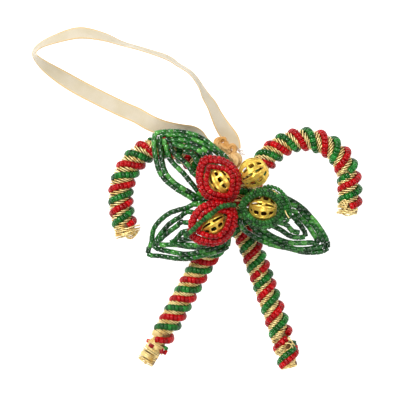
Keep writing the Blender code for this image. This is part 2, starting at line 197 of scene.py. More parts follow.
def beadPlaces(line, bead, outs=None):  # where each bead of a string sits, close to the next
    if outs is None:  # they face up, or else the way that outs says
        outs = np.tile([0, 0, 1.0], (len(line), 1))
    pitch = bead["pitch"] * mm
    tilt, shift, differ = bead["ease"]
    lengths = lengthsAlong(line)
    count = max(1, int(lengths[-1] / pitch))
    spots = (np.arange(count) + 0.5) * lengths[-1] / count
    snug = lengths[-1] / count / pitch

    def at(values, s):
        return np.array([np.interp(s, lengths, values[:, k]) for k in range(3)])

    places = []
    for s in spots:
        along = at(line, s + pitch / 2) - at(line, s - pitch / 2)
        along = unit(along) + np.array([chance.gauss(0, tilt) for k in range(3)])
        out = at(outs, s)
        center = at(line, s) + out * chance.gauss(0, shift * mm)
        wide = 1 + chance.gauss(0, differ)
        long = snug * (1 + chance.gauss(0, differ))
        places.append(place(center, along, out, (wide, wide, long)))
    return places


# Materials
def linear(hexColor):
    parts = [int(hexColor[k:k + 2], 16) / 255 for k in (1, 3, 5)]
    return [p / 12.92 if p <= 0.04045 else ((p + 0.055) / 1.055) ** 2.4 for p in parts] + [1.0]


def connect(tree, node, links):
    for key, source in dict(links).items():
        tree.links.new(source, node.inputs[key])


def addNode(tree, kind, settings=(), links=()):  # settings go to sockets or else to the node
    node = tree.nodes.new(kind)
    for key, value in dict(settings).items():
        if key == "shades":  # the places on a ramp and their colours
            shades = node.color_ramp.elements
            for number, (spot, color) in enumerate(value):
                shade = shades[number] if number < 2 else shades.new(spot)
                shade.position = spot
                shade.color = linear(color)
        elif isinstance(key, int) or key in node.inputs:
            node.inputs[key].default_value = value
        else:
            setattr(node, key, value)
    connect(tree, node, links)
    return node


def startMaterial(name, settings):  # with the object coordinates that its patterns read
    material = bpy.data.materials.new(name)
    material.use_nodes = True
    tree = material.node_tree
    shader = tree.nodes["Principled BSDF"]
    for key, value in settings.items():
        shader.inputs[key].default_value = value
    return material, tree, shader, addNode(tree, "ShaderNodeTexCoord").outputs["Object"]


def beadGlass(name, looks):
    # glass beads, dyed in the mass and fire polished: deep colour that differs from bead to bead,
    # with streaks in the glass and an uneven skin that breaks up the highlights; the bright shade,
    # reached only in spots, is partly streaks and partly painted highlight; streak and skin are the
    # sizes of both in mm, differ is the share of the tone that is each bead's own
    material, tree, shader, where = startMaterial(name, {
        "Roughness": looks["roughness"], "IOR": 1.52, "Transmission Weight": looks["clear"],
        "Specular IOR Level": looks["gloss"],
    })
    tone = addNode(tree, "ShaderNodeAttribute", {"attribute_name": "tone"})
    streaks = addNode(tree, "ShaderNodeTexNoise", {
        "Scale": 1 / (looks["streak"] * mm), "Detail": 3, "Roughness": 0.6,
    }, {"Vector": where})
    rest = addNode(tree, "ShaderNodeMath", {"operation": "MULTIPLY", 1: 1 - looks["differ"]},
                   {0: streaks.outputs["Fac"]})
    mixed = addNode(tree, "ShaderNodeMath", {"operation": "MULTIPLY_ADD", 1: looks["differ"]},
                    {0: tone.outputs["Fac"], 2: rest.outputs[0]})
    colors = [looks[shade] for shade in ("dark", "light", "bright")]
    ramp = addNode(tree, "ShaderNodeValToRGB", {"shades": zip(looks["stops"], colors)},
                   {"Fac": mixed.outputs[0]})
    skin = addNode(tree, "ShaderNodeTexNoise", {"Scale": 1 / (looks["skin"] * mm), "Detail": 2},
                   {"Vector": where})
    bump = addNode(tree, "ShaderNodeBump", {"Strength": 0.35, "Distance": looks["relief"] * mm},
                   {"Height": skin.outputs["Fac"]})
    connect(tree, shader, {"Base Color": ramp.outputs["Color"], "Normal": bump.outputs["Normal"]})
    return material


def wornSurface(name, looks):
    # a surface of two shades in patches, with fine grain: gold plate, bright with duller places
    # and, inside the balls, painted shade where the inside lies in shadow, and the padding's
    # threads, whose dark brown is partly painted shade between the wire's turns; patch and grain
    # are in mm
    material, tree, shader, where = startMaterial(name, {"Metallic": looks["metal"]})
    patches = addNode(tree, "ShaderNodeTexNoise", {
        "Scale": 1 / (looks["patch"] * mm), "Detail": 4, "Roughness": 0.65,
    }, {"Vector": where})
    ramp = addNode(tree, "ShaderNodeValToRGB", {
        "shades": [(0.32, looks["dark"]), (0.55, looks["light"])],
    }, {"Fac": patches.outputs["Fac"]})
    color = ramp.outputs["Color"]
    # painted shade: the inside of a ball is coloured dark, as though in shadow
    if "paintedShadeInside" in looks:
        inside = addNode(tree, "ShaderNodeAttribute", {"attribute_name": "inside"})
        color = addNode(tree, "ShaderNodeMix", {
            "data_type": "RGBA", 7: linear(looks["paintedShadeInside"]),
        }, {0: inside.outputs["Fac"], 6: color}).outputs[2]
    rough = addNode(tree, "ShaderNodeMapRange", {
        "From Min": 0.3, "From Max": 0.7,
        "To Min": looks["roughness"] + 0.12, "To Max": looks["roughness"],
    }, {"Value": patches.outputs["Fac"]})
    grain = addNode(tree, "ShaderNodeTexNoise", {"Scale": 1 / (looks["grain"] * mm), "Detail": 2},
                    {"Vector": where})
    bump = addNode(tree, "ShaderNodeBump", {"Strength": 0.4, "Distance": looks["relief"] * mm},
                   {"Height": grain.outputs["Fac"]})
    connect(tree, shader, {"Base Color": color, "Roughness": rough.outputs["Result"],
                           "Normal": bump.outputs["Normal"]})
    return material


seedLooks = {"streak": 1.6, "skin": 0.6, "relief": 0.05, "stops": (0.25, 0.6, 0.8)}
redGlass = beadGlass("redSeedBeadGlass", {
    **seedLooks, "dark": "#7A0208", "light": "#BA060E", "bright": "#DA0C14",
    "clear": 0.06, "roughness": 0.24, "differ": 0.3, "gloss": 0.22,
})
greenGlass = beadGlass("greenSeedBeadGlass", {
    **seedLooks, "dark": "#042C0A", "light": "#187424", "bright": "#34A844",
    "clear": 0.08, "roughness": 0.2, "differ": 0.3, "gloss": 0.34,
})
mossGlass = beadGlass("mossGreenSeedBeadGlass", {
    **seedLooks, "dark": "#0A300C", "light": "#226420", "bright": "#409840",
    "clear": 0.08, "roughness": 0.28, "differ": 0.4, "gloss": 0.3,
})
# its bright shade gives painted highlights in spots along the tubes
leafGlass = beadGlass("greenBugleBeadGlass", {
    "dark": "#022A06", "light": "#146018", "bright": "#66BC4C", "clear": 0.08,
    "roughness": 0.2, "streak": 2.0, "differ": 0.45, "gloss": 0.6, "skin": 2.0, "relief": 0.03,
    "stops": (0.3, 0.6, 0.84),
})
goldWire = wornSurface("goldPlatedFineWire", {
    "dark": "#D4A64C", "light": "#FBE6A2", "metal": 0.6, "roughness": 0.4,
    "patch": 3.0, "grain": 0.25, "relief": 0.02,
})
# the dark inside of the balls is painted shade
filigreeGold = wornSurface("goldPlatedFiligree", {
    "dark": "#D6921E", "light": "#FFDC62", "paintedShadeInside": "#5E380A", "metal": 0.7, "roughness": 0.28,
    "patch": 1.4, "grain": 0.5, "relief": 0.12,
})
# the padding's dark brown is partly painted shade between the wire's turns
padding = wornSurface("paddingAndPaintedShade", {
    "dark": "#3C240C", "light": "#7C5626", "metal": 0.0, "roughness": 0.6,
    "patch": 1.0, "grain": 0.4, "relief": 0.1,
})
frayedSilk = wornSurface("frayedOrganzaThread", {
    "dark": "#A89080", "light": "#D8C8B8", "metal": 0.0, "roughness": 0.7,
    "patch": 1.0, "grain": 0.2, "relief": 0.02,
})


# Canes
canes = {
    # in mm, but for the two that are in turns
    "aside": 4.1,  # from the cane's middle line to a strand's, level and upright
    "upright": 3.75,
    "rest": 5.25,  # height of the middle line where a cane lies on the surface
    "crossing": 11.1,  # how much higher the right cane's middle line runs at the crossing
    # the gold wire's radius and its step for each turn, in the hook, the leg and at the leg's
    # end; the real wire steps about 0.56 mm in the legs and is drawn coarser so that it shows
    "hookWire": 0.33, "legWire": 0.29,
    "hookPitch": 0.92, "legPitch": 0.74, "endPitch": 0.6,
    "laneRadius": 4.15,  # to the wire's middle, between the strands
    "dip": 1.5,  # how far the wire is pressed in under a strand
    "covered": 0.175,  # half of what a strand covers, and the slope down to it, in turns
    "slope": 0.06,
    "lean": 0.85,  # how far the coil is pushed over to the left
    "stray": 0.07,  # how far turns of wire stray along the cane
    "uneven": 0.05,  # and in and out, then how much more of both where the wire is bare
    "bareUneven": 0.14,
    "bareStray": 0.2,
    "tipSwell": 0.1,  # how much wider the wire is wound at the hook's tip
    "padding": 2.9, "tipPadding": 3.7, "endPadding": 3.2,  # the padding's radius
}
# each bead: its size in mm, its rounded rim, its step on the string, and how far single beads
# tilt, stand out (in mm) and differ in size
seedBead = {"across": 3.0, "long": 1.66, "hole": 0.8, "rim": 0.22, "sides": 12, "pitch": 1.58,
            "ease": (0.02, 0.02, 0.015)}
# route: x, y in mm, share of the crossing's height, turns that the red strand has made; red and
# green: first and last turn of each run, and how far in mm it is pushed along the cane; hook:
# how far along the hook ends; outward: how far its left side stands out; tip and end: how much
# of the wire is bare at both; endSwell: how much wider it is wound at the leg's end, narrower
# if it is less than 0
leftCane = {
    "route": [
        (-48.4, 6.2, 0, -0.4), (-51.2, 18.7, 0, 0.95), (-51.0, 28.6, 0, 2), (-47.0, 38.0, 0, 2.97),
        (-39.4, 44.8, 0, 3.93), (-29.5, 46.3, 0, 5.0), (-20.5, 41.6, 0, 6.1),
        (-12.4, 33.1, 0, 7.4), (-3.3, 19.7, 0, 9.15), (4.3, 6.9, 0, 11), (9.5, -5.8, 0, 12.5),
        (14.2, -19.1, 0, 14.05), (19.5, -34.7, 0, 15.5), (25.1, -53.5, 0, 17.3),
    ],
    "red": [(0.04, 12.98, 0), (13.02, 15.88, 0), (15.92, 16.5, 1.3), (16.52, 17.2, -0.8)],
    "green": [(0.0, 4.2, 0), (4.38, 15.98, 0), (16.02, 16.8, 2.2)],
    "hook": 62, "outward": 0.5, "tip": 5.0, "end": 4.0, "endSwell": -0.6,
}
rightCane = {
    "route": [
        (51.2, 15.8, 0, -0.35), (51.8, 24.5, 0, 0.5), (50.9, 34.9, 0, 1.5), (46.6, 43.0, 0, 2.35),
        (39.8, 47.9, 0, 3.05), (30.8, 49.8, 0, 3.85), (22.3, 47.5, 0, 4.7),
        (14.6, 41.6, 0.12, 5.6), (7.4, 31.3, 0.5, 6.75), (1.9, 21.8, 0.9, 7.85),
        (-1.9, 15.0, 1, 8.65), (-5.6, 8.6, 0.9, 9.4), (-9.7, 1.8, 0.5, 10.2),
        (-14.6, -5.6, 0.15, 11.1), (-22.3, -19.6, 0, 12.7), (-31.3, -36.2, 0, 14.65),
        (-40.2, -51.4, 0, 16.3),
    ],
    "red": [(0.0, 14.35, 0), (14.55, 15.08, 1.6)],
    "green": [(0.05, 1.2, 0), (1.22, 1.5, -1.3), (1.51, 14.8, 0)],
    "hook": 66, "outward": 0.4, "tip": 3.0, "end": 11.5, "endSwell": -0.5,
}


def layCane(cane):
    lifted = [(x * mm, y * mm, (canes["rest"] + lift * canes["crossing"]) * mm, turn)
              for x, y, lift, turn in cane["route"]]
    cane["line"], cane["stations"] = smoothLine(lifted, 1.0 * mm)


def framesAt(cane, s):  # the middle line's points, with its side, up and forward
    def at(values):
        return np.stack([np.interp(values, cane["stations"], cane["line"][:, k])
                         for k in range(3)], axis=1)
    point = at(s)
    forward = unit(at(s + mm) - at(s - mm))
    side = unit(np.cross([0, 0, 1], forward))
    return point, side, np.cross(forward, side), forward


def pushed(cane, s, out):  # the hook is wider on its left than its middle line tells
    share = np.clip((cane["hook"] * mm - s) / (15 * mm), 0, 1)
    return cane["outward"] * mm * share * np.clip(-out[:, 0], 0, 1)


def strandLine(cane, first, last, ahead, shift):
    turns = np.linspace(first, last, round((last - first) * 60))  # sixty points in a turn
    s = np.interp(turns, cane["line"][:, 3], cane["stations"]) + shift * mm
    point, side, up, forward = framesAt(cane, s)
    angle = (2 * np.pi * (turns + ahead + 0.25))[:, None]
    out = side * np.cos(angle) + up * np.sin(angle)
    line = point + (side * np.cos(angle) * canes["aside"]
                    + up * np.sin(angle) * canes["upright"]) * mm
    line[:, 0] -= pushed(cane, s, out)
    return line, out


def layStrand(side, cane, color, ahead):
    places = []
    for first, last, shift in cane[color]:
        line, outs = strandLine(cane, first, last, ahead, shift)
        places += beadPlaces(line, seedBead, outs)
    strand = copies(side + "Cane" + color.title() + "Beads", seed, places)
    finish(strand, seedGlass[color], side + "_cane_" + color + "_beads",
           angle=60)


def slowNoise(count, every):  # a smooth random value at each point, new at every so many
    values = np.array([chance.gauss(0, 1) for k in range(count // every + 4)])
    return np.interp(np.arange(count) / every, np.arange(len(values)), values)


def windCoil(name, cane, node):
    length = cane["stations"][-1]
    perTurn = 18  # points in a turn of the wire
    step = 0.1  # mm between the places where the wire's turns are counted
    fine = np.arange(0, length, step * mm)
    hook, end = cane["hook"] * mm, length - cane["end"] * mm
    pitch = np.interp(fine, [hook, hook + 20 * mm, end - 5 * mm, end],
                      [canes[part] for part in ("hookPitch", "legPitch", "legPitch", "endPitch")])
    turnsAt = np.cumsum(step / pitch)
    turns = np.arange(0, turnsAt[-1], 1 / perTurn)
    count = len(turns)
    wobble = slowNoise(count, perTurn // 3)
    drift = slowNoise(count, perTurn // 2)
    s = np.interp(turns, turnsAt, fine) + drift * canes["stray"] * mm
    s = np.clip(s, step * mm, length - step * mm)
    point, side, up, forward = framesAt(cane, s)
    angle = -2 * np.pi * turns
    red = np.interp(s, cane["stations"], cane["line"][:, 3])
    under = np.zeros(count)
    for ahead in (0, 0.5):  # under a strand the wire is pressed into the padding
        lane = angle / (2 * np.pi) - 0.25 - ahead
        off = np.abs((red - lane + 0.5) % 1 - 0.5)
        under = np.maximum(under, np.clip((canes["covered"] - off) / canes["slope"], 0, 1))
    tip = cane["tip"] * mm
    bare = np.maximum(np.clip(1 - s / tip, 0, 1) ** 0.5, np.clip((s - end) / (2 * mm), 0, 1))
    swell = np.where(s > end, cane["endSwell"], canes["tipSwell"])
    out = side * np.cos(angle)[:, None] + up * np.sin(angle)[:, None]
    radius = (canes["laneRadius"] - canes["dip"] * under * (1 - bare) - canes["lean"] * out[:, 0]
              + wobble * (canes["uneven"] + canes["bareUneven"] * bare) + swell * bare)
    line = point + out * radius[:, None] * mm
    line += forward * (wobble * canes["bareStray"] * bare)[:, None] * mm
    line[:, 0] -= pushed(cane, s, out)
    thick = np.interp(s, [hook, hook + 10 * mm], [canes["hookWire"], canes["legWire"]])
    line[:, 2] = np.maximum(line[:, 2], thick * mm)
    coil = wire(name, [line], canes["legWire"] * mm, radii=thick / canes["legWire"])
    finish(coil, goldWire, node, angle=80)


def padCane(name, cane):  # its dark brown shows between the wires, partly as painted shade
    length = cane["stations"][-1]
    s = np.linspace(0.8 * mm, length - 0.8 * mm, 160)  # it ends just inside the wire
    tip, end = cane["tip"] * mm, length - cane["end"] * mm
    thick = np.interp(s, [tip, tip + 3 * mm, end, end + 2 * mm],
                      [canes[part] for part in ("tipPadding", "padding", "padding", "endPadding")])
    rope = wire(name, [framesAt(cane, s)[0]], canes["padding"] * mm, sides=12,
                radii=thick / canes["padding"])
    finish(rope, padding, angle=80)


seed = modelBead("seedBead", seedBead)
seedGlass = {"red": redGlass, "green": greenGlass}
for side, cane in (("left", leftCane), ("right", rightCane)):
    layCane(cane)
    layStrand(side, cane, "red", 0)
    layStrand(side, cane, "green", 0.5)
    windCoil(side + "CaneGoldCoil", cane, side + "_cane_core")
    padCane(side + "CanePadding", cane)

# beads that slipped off the strands: x, y, z in mm and the way the hole runs, in degrees
strayBeads = {
    "narrow": 0.8,  # their width as a share of the others'
    "red": [(-39.0, -41.2, 6.0, 70), (-37.9, -43.2, 9.2, 60), (-33.3, -45.8, 8.0, -10),
            (-31.7, -46.3, 6.4, -30), (27.0, -44.0, 6.4, 100)],
    "green": [(-31.5, -44.4, 6.4, 60), (26.2, -41.8, 5.6, 80)],
}
for color, glass in seedGlass.items():
    places = []
    for x, y, z, turn in strayBeads[color]:
        along = (math.cos(math.radians(turn)), math.sin(math.radians(turn)), 0)
        places.append(place((x * mm, y * mm, z * mm), along, (0, 0, 1),
                            (strayBeads["narrow"], strayBeads["narrow"], 1)))
    finish(copies(color + "StrayBeads", seed, places), glass, angle=60)
print("canes wound")


# Buds
buds = {
    "top": 21.75,  # the crossing's upper side
    "ball": 6.6,  # the balls' radius
    "wire": 0.2,  # radius of the wire that the rows are strung on
    # each row's reach aside, its height, the share of that which it keeps at the bud's ends, and
    # how pointed it is
    "red": [(6.0, 5.4, 0.45, 1.3), (8.0, 3.3, 0.2, 0.7), (9.0, 1.0, 0.1, 0.45)],
    "green": [(6.4, 4.8, 0.2, 0.6), (7.8, 3.1, 0.1, 0.5), (8.5, 0.8, 0.1, 0.45)],
}
# round red beads, small flat green ones, those of the strand across the lower bud, and the
# smallest, outside the green bud
budBeads = {
    "red": {"across": 2.45, "long": 1.94, "hole": 0.7, "rim": 0.36, "sides": 10, "pitch": 1.92,
            "ease": (0.04, 0.04, 0.03)},
    "green": {"across": 2.3, "long": 1.5, "hole": 0.7, "rim": 0.34, "sides": 8, "pitch": 1.48,
              "ease": (0.04, 0.04, 0.03)},
    "cross": {"across": 2.4, "long": 1.6, "hole": 0.7, "rim": 0.36, "sides": 8, "pitch": 1.62,
              "ease": (0.08, 0.06, 0.04)},
    "outer": {"across": 1.75, "long": 1.5, "hole": 0.6, "rim": 0.26, "sides": 8, "pitch": 1.52,
              "ease": (0.08, 0.06, 0.04)},
}
# center: z is above the crossing; cage: how far the rows' middle is from the ball's in x and y;
# base and tip: how far the rows reach to both ends of the axis
budList = {
    "upper": {"center": (-6.3, 31.1, 4.4), "cage": (-1.0, -0.5), "axis": (-0.57, 0.82, 0),
              "base": 9.7, "tip": 12.2, "color": "red"},
    "lower": {"center": (-10.3, 11.9, 7.4), "cage": (0, 0), "axis": (-0.86, -0.51, 0),
              "base": 11.2, "tip": 11.3, "color": "red"},
    "green": {"center": (12.1, 18.9, 4.3), "cage": (0, -0.3), "axis": (0.99, -0.13, 0),
              "base": 9.9, "tip": 11.2, "color": "green"},
}
budGlass = {"red": redGlass, "green": mossGlass}


def budRow(bud, number):  # one row, from the base round the tip and back
    rows = buds[bud["color"]]
    offset, height, kept, pointed = rows[number]
    share = offset / max(row[0] for row in rows)
    axis = np.array(bud["axis"]) / np.linalg.norm(bud["axis"])
    side = np.cross([0, 0, 1], axis)
    center = np.array(bud["center"]) + [bud["cage"][0], bud["cage"][1], buds["top"]]
    angle = np.linspace(0, 2 * np.pi, 181)[:, None]
    ahead, swing = np.cos(angle), np.sin(angle)
    reach = np.where(ahead > 0, bud["tip"] * share, bud["base"] * share**0.5)
    line = (center + axis * reach * ahead + side * offset * swing * np.abs(swing) ** pointed
            + [0, 0, height] * (kept + (1 - kept) * np.abs(swing)))
    outs = unit(axis * ahead * 0.8 + side * swing)
    return line * mm, outs


budModels = {name: modelBead(name + "BudBead", size) for name, size in budBeads.items()}
for name, bud in budList.items():
    color = bud["color"]
    places = []
    wires = []
    for number in range(len(buds[color])):
        line, outs = budRow(bud, number)
        places += beadPlaces(line, budBeads[color], outs)
        wires.append(line[::3])
    finish(copies(name + "BudBeads", budModels[color], places), budGlass[color],
           name + "_bud_beads", angle=60)
    finish(wire(name + "BudWires", wires, buds["wire"] * mm), goldWire, angle=80)

# one strand crosses the lower bud, and one of smaller beads bows out round the green bud
singleStrands = {
    "lowerBudGreenStrand": {"bead": "cross", "node": "lower_bud_green_strand", "points": [
        (-0.2, 20.0, 32.3), (-3.6, 20.0, 34.4), (-7.0, 19.1, 35.8), (-11.9, 15.3, 36.3),
        (-16.0, 12.2, 36.0), (-19.6, 8.6, 34.5), (-23.0, 6.1, 32.5)]},
    "greenBudOuterStrand": {"bead": "outer", "node": None, "points": [
        (9.5, 26.0, 25.5), (13.5, 28.2, 26.0), (17.1, 27.9, 26.4), (20.1, 26.2, 26.8),
        (22.2, 23.3, 27.0), (23.7, 20.2, 27.0), (24.3, 17.2, 27.0), (23.5, 14.0, 26.4),
        (21.6, 11.4, 25.4)]},
}
for name, strand in singleStrands.items():
    line = smoothLine(inMetres(strand["points"]), 0.4 * mm)[0]
    places = beadPlaces(line, budBeads[strand["bead"]])
    finish(copies(name, budModels[strand["bead"]], places), mossGlass, strand["node"],
           angle=60)
print("buds strung")


# Openwork balls
ballWork = {
    "petals": 5,
    "columns": 8,  # of faces, in each petal
    "rings": 16,  # of faces, from pole to pole
    "wall": 0.45,
    "rib": 0.28,  # how far the ribs stand out
}
# three stand where their buds do, and the bare one has a place of its own
ballList = {
    "upper": {"axis": (-0.57, 0.82, 0.1), "turn": 40, "node": "upper_bud_ball"},
    "lower": {"axis": (-0.86, -0.51, 0.05), "turn": 20, "node": "lower_bud_ball"},
    "green": {"axis": (0.99, -0.13, 0.1), "turn": 0, "node": "green_bud_ball"},
    "bare": {"axis": (0.8, 0.5, 0.1), "turn": 15, "node": "bare_ball",
             "center": (8.0, 34.6, 1.8), "size": 1.05},
}


def modelBall():  # it stands at the origin, its petals from pole to pole
    deselectAll()
    columns = ballWork["petals"] * ballWork["columns"]
    bpy.ops.mesh.primitive_uv_sphere_add(
        segments=columns, ring_count=ballWork["rings"],
        radius=(buds["ball"] - ballWork["rib"]) * mm,
    )
    ball = bpy.context.object

    def cell(face):
        spot = face.center
        ring = math.floor(ballWork["rings"] * math.acos(spot.z / spot.length) / math.pi)
        column = math.floor(columns * (math.atan2(spot.y, spot.x) / (2 * math.pi) % 1))
        return ring, column % ballWork["columns"]

    def isSlot(face):  # the long slots between the petals
        ring, column = cell(face)
        return column == 0 and 3 <= ring <= 12 and ring != 7

    def isWindow(face):  # the row of windows down each petal
        ring, column = cell(face)
        return column in (4, 5) and ring in (3, 4, 6, 7, 9, 10, 12)

    def isRib(face):  # the raised ribs on both sides of a slot
        ring, column = cell(face)
        return column in (1, 7) and 2 <= ring <= 13

    selectIn(ball, "FACE", isRib)
    bpy.ops.mesh.extrude_region_shrink_fatten(
        TRANSFORM_OT_shrink_fatten={"value": ballWork["rib"] * mm}
    )
    selectIn(ball, "FACE", lambda face: face.center.length < (buds["ball"] - 0.1) * mm
             and abs(face.normal.normalized().dot(face.center.normalized())) > 0.9
             and (isSlot(face) or isWindow(face)))
    bpy.ops.mesh.delete(type="FACE")
    bpy.ops.object.mode_set(mode="OBJECT")
    thick = ball.modifiers.new("wall", "SOLIDIFY")
    thick.thickness = ballWork["wall"] * mm
    thick.offset = -1
    smooth = ball.modifiers.new("round", "SUBSURF")
    smooth.levels = smooth.render_levels = 1
    bpy.ops.object.modifier_apply(modifier="wall")
    bpy.ops.object.modifier_apply(modifier="round")
    depth = (buds["ball"] - ballWork["rib"] - 0.7 * ballWork["wall"]) * mm
    inside = ball.data.attributes.new("inside", "FLOAT", "POINT")  # painted shade: it is coloured dark there, as though in shadow
    for number, vertex in enumerate(ball.data.vertices):
        inside.data[number].value = float(vertex.co.length < depth)
    return ball


ballModel = modelBall()
for name, ball in ballList.items():
    x, y, z = ball.get("center") or budList[name]["center"]
    center = Vector((x, y, z + buds["top"])) * mm
    turn = Vector(ball["axis"]).to_track_quat("Z", "Y").to_matrix().to_4x4()
    spin = Matrix.Rotation(math.radians(ball["turn"]), 4, "Z")
    size = Matrix.Scale(ball.get("size", 1), 4)
    copy = copies(name + "Ball", ballModel, [Matrix.Translation(center) @ turn @ spin @ size])
    finish(copy, filigreeGold, ball["node"], angle=50)
print("balls pierced")


# Leaves
# from the base round the tip and back; x and y in mm, the outer loop first, and last one strand
leaves = {
    "upperLeftLeaf": {
        "base": (-4.2, 26.2, 14.5), "tip": (-36.9, 53.1, 14.0), "droop": 1,
        "node": "upper_left_leaf",
        "loops": [
            [(-14, 21), (-22, 24.5), (-29, 29), (-33, 33), (-35, 37.5), (-36.6, 46),
             (-36.4, 51.0), (-36.0, 52.4), (-34.4, 52.5), (-31, 53.0), (-24, 52.9), (-16.5, 50.8),
             (-9, 45.5), (-3.7, 40.2), (-3.5, 33)],
            [(-14, 22.5), (-21, 26), (-28, 30.5), (-32, 36), (-33.6, 44), (-34.0, 50.2),
             (-33.5, 51.4), (-32.0, 51.5), (-28.5, 51.5), (-21.5, 50.6), (-13.3, 46.5),
             (-6.3, 40.8)],
            [(-13.5, 23.5), (-19.5, 29.5), (-23.5, 34.3), (-29, 40), (-31, 45.5),
             (-31.9, 49.5), (-29, 49), (-23, 49), (-15.3, 45.4), (-10.6, 41.4)],
            [(-17, 32.7), (-22.4, 38.9), (-28, 43.8), (-28.8, 47.4), (-24, 46.4),
             (-19.2, 45.6), (-13.5, 41.4)],
            [(-15.5, 37.6), (-19.5, 42.9), (-23.5, 44.2)],
        ],
    },
    "lowerLeftLeaf": {
        "base": (-3.6, 10.2, 22.9), "tip": (-38.9, -1.1, 9.0), "droop": 1.2,
        "node": "lower_left_leaf",
        "loops": [
            [(-3.5, 2.7), (-6.5, 0), (-18.8, -3.5), (-25.7, -4), (-33, -3), (-39.2, -1.9),
             (-37.8, 3.3), (-37, 8.5), (-34.5, 12.5), (-29.4, 16.5), (-22.5, 18.6),
             (-16.2, 19.9)],
            [(-3.6, 4.7), (-7.5, 1.6), (-14.5, -0.5), (-21.7, -1.9), (-29, -0.9), (-36, 1),
             (-35.2, 4.7), (-30.3, 11), (-25.2, 14.5), (-19.4, 16.8)],
            [(-13.3, 2.5), (-19.1, 1.2), (-26.9, 2.2), (-34.5, 2.5), (-32.3, 6),
             (-26, 10.8), (-22.5, 12.2)],
            [(-15.7, 2.6), (-21.4, 2.3), (-28, 3.1), (-26.7, 4.8), (-24.8, 6.8), (-22, 8.4)],
            [(-14, 5.2), (-20, 4.9), (-25.2, 4.4)],
        ],
    },
    "rightLeaf": {
        "base": (3.2, 16.5, 21.8), "tip": (41.2, 0.7, 10.0), "droop": 0.6,
        "node": "right_leaf",
        "loops": [
            [(1.8, 14.4), (2.9, 10), (7.5, 6.3), (16, 2.3), (24, 0.5), (31, -1.2),
             (37.9, -1), (41.2, 0.8), (40.8, 4.6), (37, 11), (31, 17.8), (26.5, 21.2),
             (23, 23), (18.5, 24)],
            [(6.9, 11.2), (11.2, 7), (17, 3.7), (23.3, 1.1), (30.2, 0.2), (37.4, 1.1),
             (39.5, 1.8), (38.4, 5.4), (35.4, 10.6), (30.5, 15.8), (24.4, 20.1)],
            [(13.9, 7.7), (22.5, 3.6), (29, 3), (34.5, 3.2), (37, 2.5), (35.6, 6),
             (32, 11.2), (28.2, 14.8), (24.2, 17.5)],
            [(18.1, 10), (25, 6), (31, 6), (30, 9.5), (27.3, 12.6), (23.6, 15.2)],
            [(21.3, 11.7), (25.3, 8.6), (28.5, 7.7)],
        ],
    },
}
leafWork = {
    "layer": 0.8,  # how much higher each loop lies than the one round it
    "wire": 0.2,  # the wire's radius
}
bugle = {"across": 2.36, "long": 2.81, "hole": 0.6, "rim": 0.08, "sides": 8, "pitch": 2.82,
         "ease": (0.04, 0.05, 0.02)}


def leafLine(leaf, layer):  # one loop, or the last strand, at its height above the floor
    base, tip = np.array(leaf["base"]), np.array(leaf["tip"])
    loop = leaf["loops"][layer]
    back = [leaf["base"][:2]] if layer < len(leaf["loops"]) - 1 else []
    flat = smoothLine([leaf["base"][:2], *loop, *back], 0.4)[0]
    along = tip[:2] - base[:2]
    length = np.linalg.norm(along)
    share = np.clip((flat - base[:2]) @ along / length**2, 0, 1)
    level = base[2] + (tip[2] - base[2]) * share ** leaf["droop"]
    level += layer * leafWork["layer"] * np.minimum(1, 4 * share)
    return np.column_stack([flat, level]) * mm


tube = modelBead("bugleBead", bugle)
for name, leaf in leaves.items():
    places = []
    wires = []
    for layer in range(len(leaf["loops"])):
        line = leafLine(leaf, layer)
        wires.append(line)
        places += beadPlaces(line, bugle)
    finish(copies(name, tube, places), leafGlass, leaf["node"], angle=50)
    finish(wire(name + "Wires", wires, leafWork["wire"] * mm), goldWire,
           angle=80)
print("leaves strung")


# Ribbon
ribbon = {
    "width": 7.2, "step": 1.2, "across": 8,
    "thin": 0.14, "edge": 0.34,  # its thickness, and that of its woven edges
    "clear": 0.2,  # from its middle surface to what it lies on
}
# x, y in mm, tilt in degrees, height of the low edge
ribbonRoute = [
    (-11.0, 45.4, 50, 5.0), (-14.3, 48.6, 50, 4.5), (-16.6, 51.8, 50, 3.8),
    (-19.6, 53.4, 50, 3.0), (-24.0, 53.8, 44, 2.0), (-28.5, 54.2, 32, 1.0),
    (-33.5, 55.2, 18, 0.4), (-39.0, 57.4, 6, 0), (-44.6, 60.6, 0, 0), (-51.1, 63.4, 0, 0),
    (-61.0, 68.2, 0, 0), (-72.7, 74.3, 10, 0), (-83.5, 81.0, 42, 0), (-88.9, 85.3, 64, 0),
    (-90.9, 88.4, 74, 0), (-88.9, 91.4, 70, 0), (-82.6, 94.5, 58, 0), (-70.9, 97.7, 43, 0),
    (-60.1, 96.1, 57, 0), (-51.1, 92.9, 72, 0), (-41.6, 90.2, 75, 0), (-30.9, 86.6, 72, 0),
    (-25.5, 83.1, 76, 0), (-20.3, 79.8, 75, 0), (-17.0, 75.7, 73, 0), (-15.1, 72.5, 70, 0.2),
    (-13.2, 68.9, 58, 0.4), (-10.8, 65.3, 50, 0.6), (-9.0, 61.4, 44, 0.8), (-6.8, 57.1, 28, 1.0),
    (-4.6, 53.6, 10, 1.0), (-2.5, 50.8, 4, 0.6), (-1.4, 48.2, 4, 0.3), (-1.2, 45.4, 4, 0.3),
]


